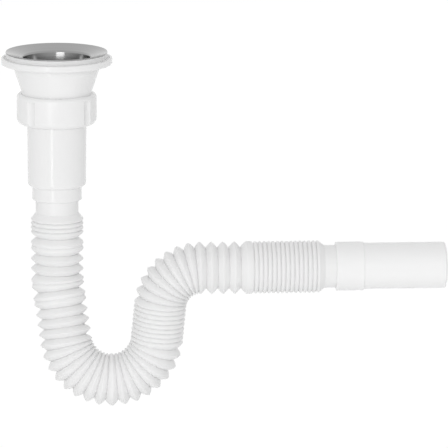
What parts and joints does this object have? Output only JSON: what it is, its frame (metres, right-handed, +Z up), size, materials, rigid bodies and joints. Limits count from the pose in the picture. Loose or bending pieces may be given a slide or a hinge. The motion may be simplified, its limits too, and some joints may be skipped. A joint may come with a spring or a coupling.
{
  "type": "corrugated basin trap",
  "caption": "White plastic basin waste with a steel strainer bowl, a union nut and a corrugated bellows pipe bent into a water trap, ending in a plain push-fit spigot",
  "frame": {"origin": "centre of the seat where the waste body's flange meets the underside of the basin, on the axis of the waste", "axes": "+Z up along the axis of the waste, +X along the outlet spigot away from the basin"},
  "size_m": [0.3072, 0.077, 0.2477],
  "materials": {
    "steel": "polished stainless sheet",
    "screw_steel": "stainless screw",
    "brass": "turned brass",
    "white_seal": "soft white seal",
    "white_gloss": "glossy moulded polypropylene",
    "white_satin": "satin blow-moulded polypropylene"
  },
  "bodies": {
    "waste": {"waste_body": "white_gloss", "strainer_bowl": "steel", "bowl_gasket": "white_seal", "flange_seal": "white_seal", "clamp_screw": "screw_steel", "insert_nut": "brass"},
    "nut": {"union_nut": "white_gloss"},
    "trap": {"tail_seal": "white_seal", "tail_tube": "white_gloss", "corrugated_pipe": "white_satin"},
    "outlet": {"outlet_spigot": "white_satin"}
  },
  "joints": [
    {"name": "nut_turn", "type": "hinge", "parent": "waste", "child": "nut", "pos_m": [0, 0, -0.036], "axis": [0, 0, 1], "continuous": true},
    {"name": "trap_swivel", "type": "hinge", "parent": "waste", "child": "trap", "pos_m": [0, 0, -0.042], "axis": [0, 0, 1], "continuous": true},
    {"name": "outlet_pull", "type": "slide", "parent": "trap", "child": "outlet", "axis": [1, 0, 0], "range_m": [0, 0.08], "deforming": ["corrugated_pipe"]}
  ]
}
